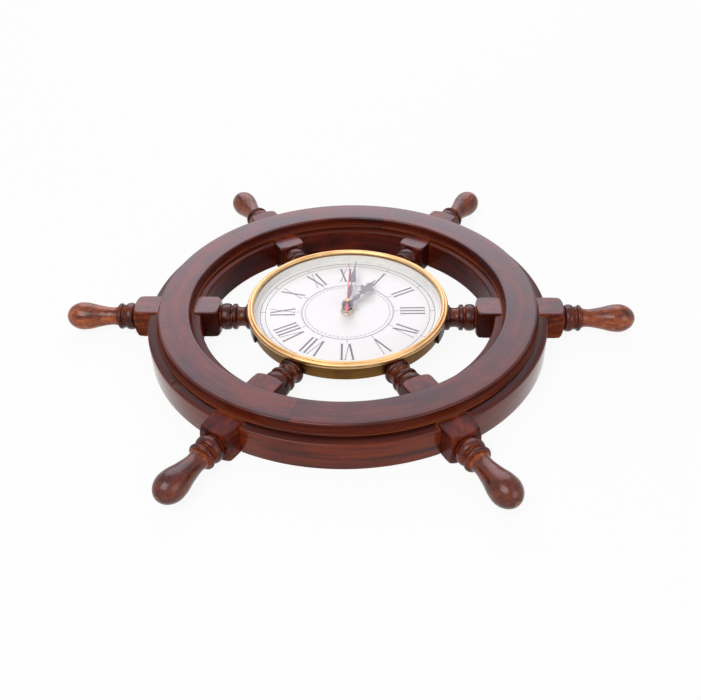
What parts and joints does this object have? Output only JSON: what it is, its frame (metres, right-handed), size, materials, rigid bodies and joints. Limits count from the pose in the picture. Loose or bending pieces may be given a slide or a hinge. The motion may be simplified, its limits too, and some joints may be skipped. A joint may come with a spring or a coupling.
{
  "type": "ship wheel clock",
  "caption": "Turned wooden ship's wheel with a domed battery clock in a brass case at its hub; hands, gear train, setting knob and battery move.",
  "frame": {"origin": "centre of the wheel on the back plane, which is the plane it lies on or hangs against", "axes": "+Z out of the dial, +Y to twelve o'clock, +X to three o'clock along two of the spokes"},
  "size_m": [0.4572, 0.3984, 0.0331],
  "materials": {
    "lacquered_mahogany": "dark red mahogany stain under glossy lacquer",
    "turned_mahogany": "turned mahogany, stained and glossy lacquered",
    "aged_brass": "aged brass sheet, dull",
    "polished_brass": "spun brass, polished and lacquered",
    "clear_glass": "clear pressed glass",
    "white_enamel": "white dial sheet, printed grey",
    "white_plastic": "moulded acetal, off-white",
    "grey_hand_paint": "stamped sheet, grey",
    "red_hand_paint": "stamped sheet, red",
    "black_plastic": "moulded ABS, black",
    "rubber": "plain",
    "bright_steel": "bright",
    "copper_winding": "enamelled copper wire",
    "circuit_board": "green solder mask",
    "battery_jacket": "plain printed jacket"
  },
  "bodies": {
    "wheel_and_case": {"felloe_1": "lacquered_mahogany", "felloe_2": "lacquered_mahogany", "felloe_3": "lacquered_mahogany", "felloe_4": "lacquered_mahogany", "felloe_5": "lacquered_mahogany", "felloe_6": "lacquered_mahogany", "face_segment_1": "lacquered_mahogany", "face_segment_2": "lacquered_mahogany", "face_segment_3": "lacquered_mahogany", "face_segment_4": "lacquered_mahogany", "face_segment_5": "lacquered_mahogany", "face_segment_6": "lacquered_mahogany", "spoke_1": "turned_mahogany", "spoke_2": "turned_mahogany", "spoke_3": "turned_mahogany", "spoke_4": "turned_mahogany", "spoke_5": "turned_mahogany", "spoke_6": "turned_mahogany", "hub": "lacquered_mahogany", "hub_cheek_right_upper": "lacquered_mahogany", "hub_cheek_left_upper": "lacquered_mahogany", "hub_cheek_left_lower": "lacquered_mahogany", "hub_cheek_right_lower": "lacquered_mahogany", "clock_case": "aged_brass", "bezel": "polished_brass", "dome_glass": "clear_glass", "dial": "white_enamel", "spacer_ring": "white_plastic", "fixing_nut": "polished_brass", "washer": "rubber", "movement_front": "black_plastic", "movement_back": "black_plastic", "stator": "bright_steel", "coil": "copper_winding", "coil_core": "bright_steel", "circuit_board": "circuit_board", "quartz_crystal": "bright_steel", "contact_plus": "bright_steel", "contact_minus": "bright_steel"},
    "seconds": {"seconds_wheel": "bright_steel", "second_hand": "red_hand_paint", "second_hand_cap": "polished_brass"},
    "fifth": {"fifth_wheel": "white_plastic"},
    "rotor": {"rotor": "black_plastic"},
    "third": {"third_wheel": "white_plastic"},
    "centre": {"centre_wheel": "bright_steel"},
    "minute": {"cannon_pinion": "bright_steel", "minute_hand": "grey_hand_paint"},
    "motion": {"motion_wheel": "white_plastic"},
    "hour": {"hour_wheel": "white_plastic", "hour_hand": "grey_hand_paint"},
    "knob": {"setting_knob": "black_plastic"},
    "battery": {"battery": "battery_jacket"}
  },
  "joints": [
    {"name": "seconds_spin", "type": "hinge", "parent": "wheel_and_case", "child": "seconds", "pos_m": [0, 0, 0.004], "axis": [0, 0, -1], "continuous": true},
    {"name": "fifth_spin", "type": "hinge", "parent": "wheel_and_case", "child": "fifth", "pos_m": [0.00771, -0.00281, 0.006], "axis": [0, 0, -1], "continuous": true},
    {"name": "rotor_spin", "type": "hinge", "parent": "wheel_and_case", "child": "rotor", "pos_m": [0.01462, -0.00029, 0.006], "axis": [0, 0, -1], "continuous": true},
    {"name": "third_spin", "type": "hinge", "parent": "wheel_and_case", "child": "third", "pos_m": [-0.00702, 0.00405, 0.008], "axis": [0, 0, -1], "continuous": true},
    {"name": "centre_spin", "type": "hinge", "parent": "wheel_and_case", "child": "centre", "pos_m": [0, 0, 0.0094], "axis": [0, 0, -1], "continuous": true},
    {"name": "minute_spin", "type": "hinge", "parent": "wheel_and_case", "child": "minute", "pos_m": [0, 0, 0.011], "axis": [0, 0, -1], "continuous": true},
    {"name": "motion_spin", "type": "hinge", "parent": "wheel_and_case", "child": "motion", "pos_m": [0, -0.0084, 0.011], "axis": [0, 0, -1], "continuous": true},
    {"name": "hour_spin", "type": "hinge", "parent": "wheel_and_case", "child": "hour", "pos_m": [0, 0, 0.013], "axis": [0, 0, -1], "continuous": true},
    {"name": "knob_spin", "type": "hinge", "parent": "wheel_and_case", "child": "knob", "pos_m": [-0.00888, -0.01163, 0.002], "axis": [0, 0, -1], "continuous": true},
    {"name": "battery_out", "type": "slide", "parent": "wheel_and_case", "child": "battery", "axis": [0, 0, -1], "range_m": [0, 0.016]}
  ],
  "couplings": [
    {"joint": "fifth_spin", "follows": "seconds_spin", "ratio": -5},
    {"joint": "rotor_spin", "follows": "seconds_spin", "ratio": 30},
    {"joint": "third_spin", "follows": "seconds_spin", "ratio": -0.13333},
    {"joint": "centre_spin", "follows": "seconds_spin", "ratio": 0.016667},
    {"joint": "motion_spin", "follows": "minute_spin", "ratio": -0.33333},
    {"joint": "hour_spin", "follows": "minute_spin", "ratio": 0.083333},
    {"joint": "knob_spin", "follows": "minute_spin", "ratio": 0.66667}
  ]
}
